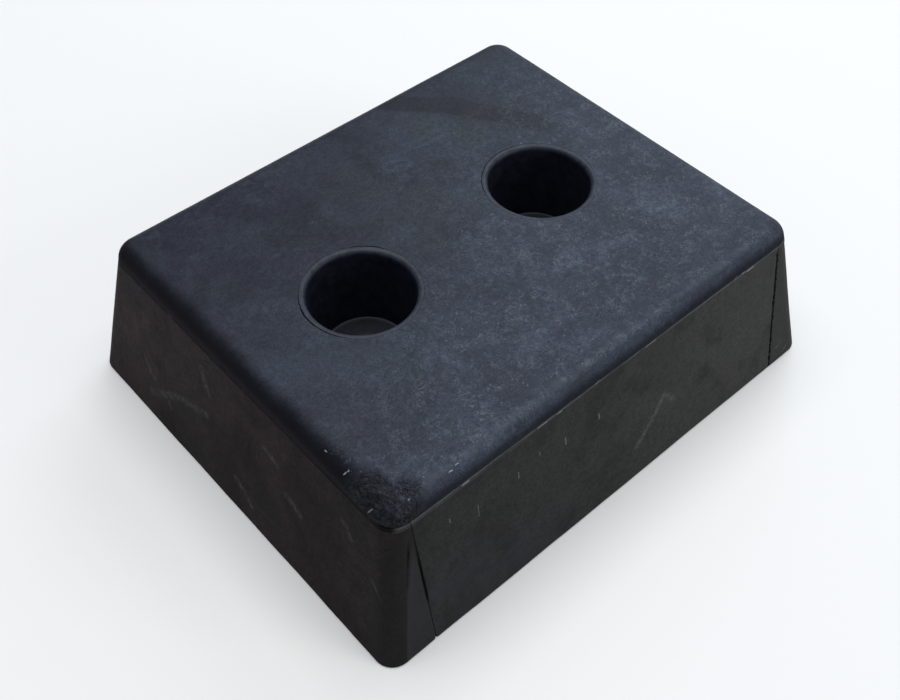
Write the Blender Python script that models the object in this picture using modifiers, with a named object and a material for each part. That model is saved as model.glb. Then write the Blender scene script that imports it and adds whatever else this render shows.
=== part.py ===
"""Moulded rubber bumper block with two deep bolt recesses.

The block is bonded together from rubber pieces: a laminated core, a skin of covers round it, a
turned liner in each recess and a steel seat washer at the bottom of each liner.

X runs along the long side, Y along the short side and Z up from the mounting face.
The origin is the centre of the mounting face.  All lengths are in metres.
"""

import math

import bmesh
import bpy

# Block
BASE_LENGTH = 0.300  # along X, at the mounting face
BASE_WIDTH = 0.250  # along Y, at the mounting face
HEIGHT = 0.090  # from the mounting face to the impact face
PARTING_DROP = 0.0077  # from the impact face down to the parting line
END_INSET = 0.0169  # how far the end faces lean in between the base and the parting line
SIDE_INSET = 0.0159  # the same for the front and back faces
CORNER_RADIUS = 0.010  # upright corners of the walls
EDGE_RADIUS = 0.0093  # rounding round the impact face
CAP_OVERHANG = 0.0004  # how far the top cover stands proud of the walls

# Skin
COVER_THICKNESS = 0.005  # end and side covers
BASE_SHEET_THICKNESS = 0.005
COVER_LEG = 0.006  # how far an end cover turns onto the long faces, past its own thickness

# Core
PLY_THICKNESS = 0.0012
PLY_MARGIN = 0.003  # rubber left between a ply's edge and the covers
LOWER_PLY_DEPTH = 0.004  # rubber between the liners' undersides and the lower ply
UPPER_PLY_DROP = 0.021  # from the parting line down to the upper ply

# Bolt recesses
RECESS_SPACING = 0.119  # centre to centre, along X
SEAT_DEPTH = 0.043  # from the impact face down to the washer's upper face
WASHER_RADIUS = 0.0225
WASHER_THICKNESS = 0.0034
WASHER_HOLE_RADIUS = 0.00875
WASHER_CHAMFER = 0.0005
WASHER_CLEARANCE = 0.002  # between the washer's rim and the wall beside it
RECESS_DRAFT = 0.0021  # how much wider a recess is at its lip than at its floor
LINER_WALL = 0.0034  # at the mouth, where the lip is rounded over the whole wall
LINER_FLOOR = 0.005
BOLT_HOLE_RADIUS = 0.0095  # through all the rubber below the washer

FIT_GAP = 0.0003  # between neighbouring pieces
CUT_MARGIN = 0.010  # how far a cutter runs past what it cuts
MIN_CORNER_RADIUS = 0.001

# Facets
CORNER_SEGMENTS = 6
EDGE_SEGMENTS = 6
TURN_STEPS = 48
ARC_SEGMENTS = 5

# Sizes that follow from the ones above
PARTING_HEIGHT = HEIGHT - PARTING_DROP
SEAT_HEIGHT = HEIGHT - SEAT_DEPTH
RECESS_FLOOR_HEIGHT = SEAT_HEIGHT - WASHER_THICKNESS - FIT_GAP
LINER_BOTTOM = RECESS_FLOOR_HEIGHT - LINER_FLOOR
RECESS_FLOOR_RADIUS = WASHER_RADIUS + WASHER_CLEARANCE
RECESS_LIP_RADIUS = RECESS_FLOOR_RADIUS + RECESS_DRAFT
LINER_RADIUS = RECESS_LIP_RADIUS + LINER_WALL
LOWER_PLY_TOP = LINER_BOTTOM - FIT_GAP - LOWER_PLY_DEPTH
UPPER_PLY_TOP = PARTING_HEIGHT - UPPER_PLY_DROP
SEAM_X = BASE_LENGTH / 2 - END_INSET - COVER_THICKNESS - COVER_LEG
RECESS_PLACES = {"left": -RECESS_SPACING / 2, "right": RECESS_SPACING / 2}

# Colours (linear), with roughness and metallic values
SURFACES = {
    "top_rubber": ((0.040, 0.044, 0.056), 0.60, 0.0),
    "side_rubber": ((0.030, 0.029, 0.029), 0.65, 0.0),
    "liner_rubber": ((0.018, 0.020, 0.026), 0.45, 0.0),
    "core_rubber": ((0.016, 0.016, 0.016), 0.85, 0.0),
    "cord_fabric": ((0.260, 0.225, 0.165), 0.90, 0.0),
    "washer_steel": ((0.045, 0.048, 0.055), 0.50, 0.6),
}


def clear_scene():
    """Remove what the scene holds."""
    for item in list(bpy.data.objects):
        bpy.data.objects.remove(item, do_unlink=True)


def new_collection(name):
    """Add a collection to the scene."""
    collection = bpy.data.collections.new(name)
    bpy.context.scene.collection.children.link(collection)
    return collection


def make_material(name):
    """A Principled BSDF material from the table of surfaces."""
    color, roughness, metallic = SURFACES[name]
    material = bpy.data.materials.new(name)
    material.use_nodes = True
    shader = material.node_tree.nodes["Principled BSDF"]
    shader.inputs["Base Color"].default_value = (*color, 1.0)
    shader.inputs["Roughness"].default_value = roughness
    shader.inputs["Metallic"].default_value = metallic
    material.diffuse_color = (*color, 1.0)
    return material


def add_object(name, mesh, collection):
    """Put a mesh in the scene under a name."""
    item = bpy.data.objects.new(name, mesh)
    collection.objects.link(item)
    return item


def wall_half_sizes(z, inward):
    """Half length and half width of the drafted walls at height z, moved inward by a distance."""
    share = z / PARTING_HEIGHT
    half_length = BASE_LENGTH / 2 - END_INSET * share - inward
    half_width = BASE_WIDTH / 2 - SIDE_INSET * share - inward
    return half_length, half_width


def drafted_block(name, z_low, z_high, inward):
    """Mesh of a solid that follows the drafted walls, with rounded upright corners."""
    form = bmesh.new()
    bmesh.ops.create_cube(form, size=2.0)
    upright = [edge for edge in form.edges if edge.verts[0].co.z * edge.verts[1].co.z < 0]
    for vert in form.verts:
        z = z_high if vert.co.z > 0 else z_low
        half_length, half_width = wall_half_sizes(z, inward)
        vert.co = (math.copysign(half_length, vert.co.x), math.copysign(half_width, vert.co.y), z)
    corner_radius = max(CORNER_RADIUS - inward, MIN_CORNER_RADIUS)
    bmesh.ops.bevel(
        form,
        geom=upright,
        offset=corner_radius,
        offset_type="OFFSET",
        segments=CORNER_SEGMENTS,
        profile=0.5,
        affect="EDGES",
    )
    mesh = bpy.data.meshes.new(name)
    form.to_mesh(mesh)
    form.free()
    return mesh


def round_top_rim(mesh, z_top, offset):
    """Round the whole rim of a solid's upper face."""
    form = bmesh.new()
    form.from_mesh(mesh)
    top_face = max(form.faces, key=lambda face: face.calc_center_median().z)
    rim = [edge for edge in top_face.edges if all(abs(vert.co.z - z_top) < 1e-6 for vert in edge.verts)]
    bmesh.ops.bevel(
        form,
        geom=rim,
        offset=offset,
        offset_type="OFFSET",
        segments=EDGE_SEGMENTS,
        profile=0.5,
        affect="EDGES",
    )
    form.to_mesh(mesh)
    form.free()


def box(name, low, high):
    """Mesh of a box between two corners."""
    form = bmesh.new()
    bmesh.ops.create_cube(form, size=1.0)
    for vert in form.verts:
        vert.co = [high[i] if vert.co[i] > 0 else low[i] for i in range(3)]
    mesh = bpy.data.meshes.new(name)
    form.to_mesh(mesh)
    form.free()
    return mesh


def arc(center, radius, start, end, segments):
    """Points on an arc in the X-Z plane, by angle from +X towards +Z."""
    points = []
    for i in range(segments + 1):
        angle = start + (end - start) * i / segments
        points.append((center[0] + radius * math.cos(angle), center[1] + radius * math.sin(angle)))
    return points


def turned(name, profile, x, collection):
    """Turn a closed profile of (radius, z) points about an upright axis at x."""
    form = bmesh.new()
    verts = [form.verts.new((radius, 0.0, z)) for radius, z in profile]
    for i, vert in enumerate(verts):
        form.edges.new((vert, verts[(i + 1) % len(verts)]))
    mesh = bpy.data.meshes.new(name)
    form.to_mesh(mesh)
    form.free()
    item = add_object(name, mesh, collection)
    item.location = (x, 0.0, 0.0)
    screw = item.modifiers.new("turn", "SCREW")
    screw.axis = "Z"
    screw.angle = 2 * math.pi
    screw.steps = TURN_STEPS
    screw.render_steps = TURN_STEPS
    screw.use_merge_vertices = True
    screw.merge_threshold = 0.00001
    return item


def cylinder_cutter(name, x, radius, z_low, z_high, collection):
    """Upright cylinder that cuts a round hole."""
    form = bmesh.new()
    bmesh.ops.create_cone(
        form,
        cap_ends=True,
        segments=TURN_STEPS,
        radius1=radius,
        radius2=radius,
        depth=z_high - z_low,
    )
    bmesh.ops.translate(form, verts=form.verts, vec=(0.0, 0.0, (z_low + z_high) / 2))
    mesh = bpy.data.meshes.new(name)
    form.to_mesh(mesh)
    form.free()
    item = add_object(name, mesh, collection)
    item.location = (x, 0.0, 0.0)
    return as_cutter(item)


def as_cutter(item):
    """Show an object as wire and keep it out of renders."""
    item.display_type = "WIRE"
    item.hide_render = True
    return item


def cut(item, cutter, operation="DIFFERENCE"):
    """Cut a piece with a cutter, or keep only what lies inside it."""
    modifier = item.modifiers.new(cutter.name, "BOOLEAN")
    modifier.operation = operation
    modifier.solver = "EXACT"
    modifier.object = cutter


def finish(item, material):
    """Give a piece its material and smooth shading between its sharp edges."""
    item.data.materials.append(material)
    item.data.shade_smooth()
    item.data.set_sharp_from_angle(angle=math.radians(30))


def make_recess_cutters(cutters):
    """The pockets that hold the liners, and the bolt holes below them."""
    pockets = []
    holes = []
    for side, x in RECESS_PLACES.items():
        pocket_low = LINER_BOTTOM - FIT_GAP
        pocket_radius = LINER_RADIUS + FIT_GAP
        pockets.append(
            cylinder_cutter(f"pocket_{side}", x, pocket_radius, pocket_low, HEIGHT + CUT_MARGIN, cutters)
        )
        holes.append(
            cylinder_cutter(f"hole_{side}", x, BOLT_HOLE_RADIUS, -CUT_MARGIN, HEIGHT + CUT_MARGIN, cutters)
        )
    return pockets, holes


def make_top_cover(pockets, parts, material):
    """The cap: the rounded impact face down to the parting line, open over each liner."""
    z_low = PARTING_HEIGHT + FIT_GAP
    mesh = drafted_block("top_cover", z_low, HEIGHT, -CAP_OVERHANG)
    draft = math.atan2(END_INSET, PARTING_HEIGHT)
    offset = EDGE_RADIUS * math.tan((math.pi / 2 - draft) / 2)
    wall = (HEIGHT - z_low) / math.cos(draft)
    round_top_rim(mesh, HEIGHT, min(offset, 0.98 * wall))
    item = add_object("top_cover", mesh, parts)
    for pocket in pockets:
        cut(item, pocket)
    finish(item, material)


def make_wall_covers(parts, cutters, material):
    """Two end covers that turn round the corners, and two side covers between their seams."""
    low = -CUT_MARGIN
    high = PARTING_HEIGHT + CUT_MARGIN
    hollow = add_object("hollow", drafted_block("hollow", low, high, COVER_THICKNESS), cutters)
    as_cutter(hollow)
    far_x = BASE_LENGTH / 2 + CUT_MARGIN
    far_y = BASE_WIDTH / 2 + CUT_MARGIN
    side_x = SEAM_X - FIT_GAP
    regions = {
        "end_cover_left": ((-far_x, -far_y), (-SEAM_X, far_y)),
        "end_cover_right": ((SEAM_X, -far_y), (far_x, far_y)),
        "side_cover_front": ((-side_x, -far_y), (side_x, 0.0)),
        "side_cover_back": ((-side_x, 0.0), (side_x, far_y)),
    }
    for name, (corner_low, corner_high) in regions.items():
        region = add_object(f"{name}_region", box(name, (*corner_low, low), (*corner_high, high)), cutters)
        as_cutter(region)
        item = add_object(name, drafted_block(name, 0.0, PARTING_HEIGHT, 0.0), parts)
        cut(item, hollow)
        cut(item, region, "INTERSECT")
        finish(item, material)


def make_core(pockets, holes, parts, rubber, fabric):
    """The base sheet, three slabs of core rubber and the two cord plies between them."""
    inward = COVER_THICKNESS + FIT_GAP
    ply_inward = inward + PLY_MARGIN
    lower_ply_low = LOWER_PLY_TOP - PLY_THICKNESS
    upper_ply_low = UPPER_PLY_TOP - PLY_THICKNESS
    layers = [
        ("base_sheet", 0.0, BASE_SHEET_THICKNESS, inward, rubber),
        ("core_slab_lower", BASE_SHEET_THICKNESS + FIT_GAP, lower_ply_low - FIT_GAP, inward, rubber),
        ("cord_ply_lower", lower_ply_low, LOWER_PLY_TOP, ply_inward, fabric),
        ("core_slab_middle", LOWER_PLY_TOP + FIT_GAP, upper_ply_low - FIT_GAP, inward, rubber),
        ("cord_ply_upper", upper_ply_low, UPPER_PLY_TOP, ply_inward, fabric),
        ("core_slab_upper", UPPER_PLY_TOP + FIT_GAP, PARTING_HEIGHT, inward, rubber),
    ]
    for name, z_low, z_high, layer_inward, material in layers:
        item = add_object(name, drafted_block(name, z_low, z_high, layer_inward), parts)
        if z_high > LINER_BOTTOM:
            for pocket in pockets:
                cut(item, pocket)
        if z_low < LINER_BOTTOM:
            for hole in holes:
                cut(item, hole)
        finish(item, material)


def liner_profile():
    """Outer wall, underside, bolt hole, floor, drafted inner wall and rounded lip."""
    fillet = WASHER_CLEARANCE - FIT_GAP
    floor_corner = (RECESS_FLOOR_RADIUS - fillet, RECESS_FLOOR_HEIGHT + fillet)
    lip_center = (LINER_RADIUS, HEIGHT - LINER_WALL)
    points = [
        (LINER_RADIUS, HEIGHT),
        (LINER_RADIUS, LINER_BOTTOM),
        (BOLT_HOLE_RADIUS, LINER_BOTTOM),
        (BOLT_HOLE_RADIUS, RECESS_FLOOR_HEIGHT),
    ]
    points += arc(floor_corner, fillet, -math.pi / 2, 0.0, ARC_SEGMENTS)
    points += arc(lip_center, LINER_WALL, math.pi, math.pi / 2, ARC_SEGMENTS)[:-1]
    return points


def washer_profile():
    """Flat ring with small chamfers."""
    z_low = RECESS_FLOOR_HEIGHT + FIT_GAP
    z_high = z_low + WASHER_THICKNESS
    inner = WASHER_HOLE_RADIUS
    return [
        (WASHER_RADIUS - WASHER_CHAMFER, z_high),
        (WASHER_RADIUS, z_high - WASHER_CHAMFER),
        (WASHER_RADIUS, z_low + WASHER_CHAMFER),
        (WASHER_RADIUS - WASHER_CHAMFER, z_low),
        (inner + WASHER_CHAMFER, z_low),
        (inner, z_low + WASHER_CHAMFER),
        (inner, z_high - WASHER_CHAMFER),
        (inner + WASHER_CHAMFER, z_high),
    ]


def make_recess_parts(parts, rubber, steel):
    """A liner and a seat washer in each recess."""
    for side, x in RECESS_PLACES.items():
        finish(turned(f"recess_liner_{side}", liner_profile(), x, parts), rubber)
        finish(turned(f"seat_washer_{side}", washer_profile(), x, parts), steel)


def build():
    """Build the whole block."""
    clear_scene()
    parts = new_collection("rubber_bumper_block")
    cutters = new_collection("cutters")
    materials = {name: make_material(name) for name in SURFACES}
    pockets, holes = make_recess_cutters(cutters)
    make_top_cover(pockets, parts, materials["top_rubber"])
    make_wall_covers(parts, cutters, materials["side_rubber"])
    make_core(pockets, holes, parts, materials["core_rubber"], materials["cord_fabric"])
    make_recess_parts(parts, materials["liner_rubber"], materials["washer_steel"])


build()
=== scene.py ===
"""Looks of the rubber bumper block: moulded skin, torn seams, recess lips and worn rubber.

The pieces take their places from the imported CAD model, and most marks are shares or offsets of its
sizes; the camera, the lights and the broad zones of the impact face are plain values.  Lengths are in metres unless a name or
a comment says mm, X runs along the long side, Y along the short side and Z up from the mounting face.
Left is -X, right is +X, front is -Y and back is +Y.
"""

import math
import random

import bmesh
import bpy
from mathutils import Matrix, Vector, noise


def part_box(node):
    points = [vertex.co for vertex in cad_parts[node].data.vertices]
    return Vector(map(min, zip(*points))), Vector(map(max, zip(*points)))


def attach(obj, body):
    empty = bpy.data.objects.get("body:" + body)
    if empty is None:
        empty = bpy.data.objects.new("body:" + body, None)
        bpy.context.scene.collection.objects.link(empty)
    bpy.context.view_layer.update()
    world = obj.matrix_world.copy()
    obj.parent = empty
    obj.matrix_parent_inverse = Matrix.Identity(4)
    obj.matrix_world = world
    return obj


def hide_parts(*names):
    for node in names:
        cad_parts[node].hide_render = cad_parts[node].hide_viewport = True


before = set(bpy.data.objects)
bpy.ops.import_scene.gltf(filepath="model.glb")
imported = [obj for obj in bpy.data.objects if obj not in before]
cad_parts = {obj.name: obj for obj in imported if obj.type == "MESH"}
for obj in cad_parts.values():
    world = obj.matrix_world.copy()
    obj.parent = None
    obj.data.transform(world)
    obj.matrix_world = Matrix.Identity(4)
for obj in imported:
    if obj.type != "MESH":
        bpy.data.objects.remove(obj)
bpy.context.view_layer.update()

MM = 0.001

# === Places, read from the CAD model ===

cap_low, cap_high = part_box("top_cover")
wall_low, wall_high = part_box("end_cover_left")
front_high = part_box("side_cover_front")[1]

TOP_Z = cap_high.z
CAP_BOTTOM_Z = cap_low.z
PARTING_Z = wall_high.z
BASE_HALF = (-wall_low.x, -wall_low.y)
CAP_HALF = (cap_high.x, cap_high.y)
CAP_OVERHANG = 0.4 * MM
WALL_TOP_HALF = (CAP_HALF[0] - CAP_OVERHANG, CAP_HALF[1] - CAP_OVERHANG)
SEAM_X = (front_high.x - wall_high.x) / 2
SIDES = {"left": -1, "right": 1}

# Shape of the skin
CORNER_RADIUS = 10.0 * MM
COVER_THICKNESS = 4.6 * MM
EDGE_RADIUS = 9.2 * MM
CAP_CORNER_RADIUS = 11.5 * MM
DRAFT = math.atan2(BASE_HALF[0] - WALL_TOP_HALF[0], PARTING_Z)

# Camera, as solved from the outline of the object in the photo, and rounded
CAMERA_AZIMUTH = math.radians(-41.9)
CAMERA_ELEVATION = math.radians(49.84)
CAMERA_ROLL = math.radians(0.28)
CAMERA_DISTANCE = 0.637
CAMERA_LENS_MM = 45.5
CAMERA_SENSOR_MM = 36.0
CAMERA_ASIDE = -1.93 * MM
CAMERA_ABOVE = -0.28 * MM


# === Small helpers ===


def smooth(low, high, value):
    """Smooth step from 0 at low to 1 at high."""
    share = min(max((value - low) / (high - low), 0.0), 1.0)
    return share * share * (3.0 - 2.0 * share)


def mix(a, b, share):
    """Straight mix of two numbers."""
    return a + (b - a) * share


def moved(point, size, seed):
    """Place in a noise with features of about the given size, moved by a seed."""
    return Vector(point) / size + Vector((seed, 2.3 * seed, -1.7 * seed))


def wave(point, size, seed=0.0):
    """Smooth noise from -1 to 1."""
    return noise.noise(moved(point, size, seed))


def rough(point, size, octaves, seed=0.0):
    """Noise of several octaves, about -1 to 1."""
    return noise.fractal(moved(point, size, seed), 1.0, 2.0, octaves)


def graded(length, step, fine):
    """Distances along a length, close together at both ends and evenly spaced between."""
    ends = [d for d in fine if d < length / 2]
    count = max(1, round((length - 2 * ends[-1]) / step))
    middle = [ends[-1] + (length - 2 * ends[-1]) * i / count for i in range(1, count)]
    return ends + middle + [length - d for d in reversed(ends)]


def edge_round(distance, radius):
    """How far a rounded edge lies inside its sharp one, at a distance from it."""
    short = radius - min(max(distance, 0.0), radius)
    return radius - math.sqrt(radius * radius - short * short)


def new_object(name, data):
    """Object in the scene."""
    item = bpy.data.objects.new(name, data)
    bpy.context.scene.collection.objects.link(item)
    return item


def add_piece(name, verts, faces, replaced, material, sharp_angle=40):
    mesh = bpy.data.meshes.new(name)
    mesh.from_pydata(verts, [], faces)
    mesh.validate()
    mesh.shade_smooth()
    mesh.set_sharp_from_angle(angle=math.radians(sharp_angle))
    item = new_object(name, mesh)
    item.data.materials.append(material)
    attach(item, "root")
    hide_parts(*replaced)
    return item


def round_place(node):
    """Lowest and highest corner of a round CAD node, the x of its axis and its radius."""
    low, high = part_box(node)
    return low, high, (low.x + high.x) / 2, (high.x - low.x) / 2


# === Walls: four covers that meet at the seams ===


def wall_half(z):
    """Half length and half width of the walls at height z."""
    share = z / PARTING_Z
    return tuple(mix(BASE_HALF[i], WALL_TOP_HALF[i], share) for i in range(2))


def on_left_wall(along, up):
    """Point on the left face: along from -1 front to 1 back, up from 0 base to 1 parting line."""
    half_x, half_y = wall_half(up * PARTING_Z)
    return Vector((-half_x, along * half_y, up * PARTING_Z))


def on_front_wall(along, up):
    """Point on the front face: along from -1 left to 1 right, up from 0 base to 1 parting line."""
    half_x, half_y = wall_half(up * PARTING_Z)
    return Vector((along * half_x, -half_y, up * PARTING_Z))


def on_left_leg(share, up):
    """Point on the front left leg: share from 0 where the corner ends to 1 at the seam."""
    half_x, half_y = wall_half(up * PARTING_Z)
    return Vector((-mix(half_x - CORNER_RADIUS, SEAM_X, share), -half_y, up * PARTING_Z))


def on_top(across, deep):
    """Point on the impact face: across from -1 left to 1 right, deep from -1 front to 1 back."""
    return Vector((across * CAP_HALF[0], deep * CAP_HALF[1], TOP_Z))


def route(points, width):
    """Strokes of one width from point to point."""
    return [(start, end, width) for start, end in zip(points, points[1:])]


SEAM_JAG = {("left", "front"): 0.12 * MM, ("right", "front"): 0.75 * MM}
SEAM_JAG_SIZE = {("left", "front"): 14 * MM, ("right", "front"): 2.6 * MM}
DEFAULT_JAG = 0.3 * MM
DEFAULT_JAG_SIZE = 6 * MM


def seam_offset(seam, z):
    """How far a seam wanders from its upright line."""
    size = SEAM_JAG_SIZE.get(seam, DEFAULT_JAG_SIZE)
    amount = SEAM_JAG.get(seam, DEFAULT_JAG)
    key = SIDES[seam[0]] * 3.1 + (7.7 if seam[1] == "front" else 0.0)
    return amount * rough((key, 0.0, z), size, 3)


def seam_lip(seam, z):
    """Radius of the rounded edges beside a seam: large where the seam gapes."""
    height = z / PARTING_Z
    closed = 0.18 * MM
    if seam == ("left", "front"):
        gape = smooth(0.3, 0.4, height) * (1 - smooth(0.6, 0.9, height))
        notch = 1 - smooth(0.015, 0.05, height)
        return closed + 0.55 * MM * gape + 0.9 * MM * notch
    if seam == ("right", "front"):
        ragged = 0.5 + 0.5 * rough((4.2, 0.0, z), 3.0 * MM, 3)
        reach = smooth(0.02, 0.1, height) * (1 - smooth(0.93, 0.985, height))
        return closed + (0.25 + 0.85 * max(0.0, ragged)) * MM * reach
    ragged = 0.5 + 0.5 * rough((9.1 * SIDES[seam[0]], 0.0, z), 9.0 * MM, 2)
    return closed + 0.55 * MM * max(0.0, ragged)


BEAD_RISE = 0.55 * MM
BEAD_DROP = 0.55 * MM
BEAD_WIDTH = 0.42 * MM


def flash_bead(x, y, z, normal):
    """The thin line of flash squeezed out along the parting line, double in places."""
    depth = PARTING_Z - z
    if depth > 5 * MM:
        return 0.0
    place = (x, y, 0.0)
    on_front = max(0.0, -normal[1])
    strength = mix(0.1, 1.0, on_front) * (0.65 + 0.5 * rough(place, 9 * MM, 3, 1.0))
    first = math.exp(-(((depth - BEAD_DROP) / BEAD_WIDTH) ** 2))
    second_drop = BEAD_DROP + 1.5 * MM + 0.25 * MM * wave(place, 30 * MM, 4.0)
    share = x / SEAM_X
    along = smooth(-1.0, -0.9, share) * (1 - smooth(-0.6, -0.4, share)) + smooth(0.7, 0.8, share)
    second = on_front * along * math.exp(-(((depth - second_drop) / BEAD_WIDTH) ** 2))
    return BEAD_RISE * (max(0.05, strength) * first + 0.6 * second)


# Marks on the walls, as strokes (start, end and width) that both shape a wall and colour its material
SCUFF_COUNT = 8
CHIP_COUNT = 6


def fallen_scuffs():
    """Scuffs spread along the left wall: each bends once as it falls towards the front."""
    draw = random.Random(3)
    strokes = []
    for i in range(SCUFF_COUNT):
        along = mix(-0.95, 0.75, (i + draw.uniform(0.1, 0.9)) / SCUFF_COUNT)
        up = draw.uniform(0.22, 0.88)
        reach = draw.uniform(0.03, 0.12)
        drop = draw.uniform(0.02, 0.18)
        bend = draw.uniform(-0.025, 0.025)
        bent = on_left_wall(along - reach / 2, up - drop / 2 + bend)
        points = [on_left_wall(along, up), bent, on_left_wall(along - reach, up - drop)]
        strokes += route(points, draw.uniform(0.6, 1.8) * MM)
    return strokes


def hanging_chips():
    """Short upright chips just under the parting line, spread over the left half of the front."""
    draw = random.Random(8)
    strokes = []
    for i in range(CHIP_COUNT):
        along = mix(-0.8, 0.0, (i + draw.uniform(0.2, 0.8)) / CHIP_COUNT)
        up = draw.uniform(0.74, 0.82)
        length = draw.uniform(0.02, 0.08)
        points = [on_front_wall(along, up), on_front_wall(along + 0.002, up - length)]
        strokes += route(points, draw.uniform(0.2, 0.6) * MM)
    return strokes


LONG_RUB = [on_left_wall(0.6, 0.2), on_left_wall(0.4, 0.4), on_left_wall(0.2, 0.5)]
LEFT_SCUFFS = fallen_scuffs() + route(LONG_RUB, 2.2 * MM)
HOOK = [on_front_wall(0.3, 0.4), on_front_wall(0.25, 0.5), on_front_wall(0.2, 0.4), on_front_wall(0.1, 0.25)]
FRONT_SCUFFS = route(HOOK, 1.5 * MM)
FRONT_CHIPS = hanging_chips()
LEFT_SCUFF_DEPTH = 0.16 * MM
FRONT_SCUFF_DEPTH = 0.14 * MM
CHIP_RISE = 0.3 * MM
# The cut edge of the flap, which only the material shows, as a line of painted shade
TEAR_EDGE = [on_left_leg(0.3, 0.8), on_left_leg(0.0, 0.8), on_left_leg(0.0, 0.7)]


def stroke_depth(place, strokes):
    """How strongly the strokes mark a place, from 0 to 1."""
    deepest = 0.0
    for start, end, width in strokes:
        along = end - start
        offset = place - start
        share = min(max(offset.dot(along) / along.length_squared, 0.0), 1.0)
        gap = (offset - along * share).length
        deepest = max(deepest, math.exp(-((gap / width) ** 2)))
    return deepest


def flap_relief(x, z):
    """The small torn flap where the front left leg starts: a lifted edge beside a short cut."""
    up = z / PARTING_Z
    along = smooth(0.5, 0.6, up) * (1 - smooth(0.8, 0.9, up))
    if along == 0.0 or x > 0:
        return 0.0
    across = (x + wall_half(z)[0] - CORNER_RADIUS) / MM
    lifted = 0.55 * math.exp(-(((across - 1.3) / 1.5) ** 2))
    cut = -0.8 * math.exp(-((across / 0.45) ** 2))
    return (lifted + cut) * along * MM


def wall_relief(x, y, z, normal):
    """How far the moulded wall stands out from its drafted plane."""
    place = Vector((x, y, z))
    relief = 0.28 * MM * wave(place, 46 * MM, 3.0) + 0.09 * MM * wave(place, 15 * MM, 5.0)
    relief += 0.02 * MM * rough(place, 3.0 * MM, 2, 6.0)
    relief += flash_bead(x, y, z, normal)
    if normal[0] < -0.5:
        relief -= LEFT_SCUFF_DEPTH * stroke_depth(place, LEFT_SCUFFS)
    if normal[1] < -0.5:
        relief -= FRONT_SCUFF_DEPTH * stroke_depth(place, FRONT_SCUFFS)
        relief += CHIP_RISE * stroke_depth(place, FRONT_CHIPS)
        relief += flap_relief(x, z)
    return relief


QUARTER_TURN = math.pi / 2
SEAM_HALF_GAP = 0.15 * MM
WALL_STEP = 1.2 * MM
LEG_STEP = 1.0 * MM
WALL_FINE = [d * MM for d in (0.0, 0.08, 0.18, 0.3, 0.45, 0.65, 0.9, 1.2, 1.6, 2.1, 2.7, 3.5, 4.5)]
CORNER_STEPS = 14
BOTTOM_RADIUS = 0.9 * MM
RIM_RADIUS = 0.22 * MM


def turned_by(side, point):
    """Turn a plan point half round for the left and back covers."""
    return point if side > 0 else (-point[0], -point[1])


def end_stations(side):
    """Stations round an end cover, each a kind, a seam or corner, and a share or angle."""
    first_seam = ("right", "front") if side > 0 else ("left", "back")
    last_seam = ("right", "back") if side > 0 else ("left", "front")
    leg = BASE_HALF[0] - CORNER_RADIUS - SEAM_X
    shares = [d / leg for d in graded(2 * leg, LEG_STEP, WALL_FINE) if d < leg]
    turns = [QUARTER_TURN * i / CORNER_STEPS for i in range(CORNER_STEPS + 1)]
    count = round(2 * (BASE_HALF[1] - CORNER_RADIUS) / WALL_STEP)
    stations = [("front_leg", first_seam, share) for share in shares]
    stations += [("corner", -1, -QUARTER_TURN + turn) for turn in turns[:-1]]
    stations += [("face", None, -1 + 2 * i / count) for i in range(count)]
    stations += [("corner", 1, turn) for turn in turns]
    return stations + [("back_leg", last_seam, share) for share in reversed(shares)]


def end_point(side, station, z):
    """Plan point, outward direction, seam distance and seam of a station of an end cover."""
    half_x, half_y = wall_half(z)
    center_x, center_y = half_x - CORNER_RADIUS, half_y - CORNER_RADIUS
    kind, part, value = station
    distance, seam = 1.0, None
    if kind == "corner":
        normal = (math.cos(value), math.sin(value))
        point = (center_x + CORNER_RADIUS * normal[0], part * center_y + CORNER_RADIUS * normal[1])
    elif kind == "face":
        point, normal = (half_x, value * center_y), (1.0, 0.0)
    else:
        seam = part
        start = SEAM_X + SEAM_HALF_GAP + SIDES[seam[0]] * seam_offset(seam, z)
        x = mix(start, center_x, value)
        distance = x - start
        sign = -1 if kind == "front_leg" else 1
        point, normal = (x, sign * half_y), (0.0, float(sign))
    return turned_by(side, point), turned_by(side, normal), distance, seam


def side_stations():
    """Stations along a side cover, from seam to seam."""
    length = 2 * SEAM_X
    return [d / length for d in graded(length, WALL_STEP, WALL_FINE)]


def side_point(side, share, z):
    """The same as end_point for a side cover; the front one runs from left to right."""
    half_y = wall_half(z)[1]
    depth = "front" if side > 0 else "back"
    names = ("left", "right") if side > 0 else ("right", "left")
    first, last = (names[0], depth), (names[1], depth)
    start = -SEAM_X + SEAM_HALF_GAP + side * seam_offset(first, z)
    end = SEAM_X - SEAM_HALF_GAP + side * seam_offset(last, z)
    x = mix(start, end, share)
    seam = first if share < 0.5 else last
    distance = min(x - start, end - x)
    return turned_by(side, (x, -half_y)), turned_by(side, (0.0, -1.0)), distance, seam


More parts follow.
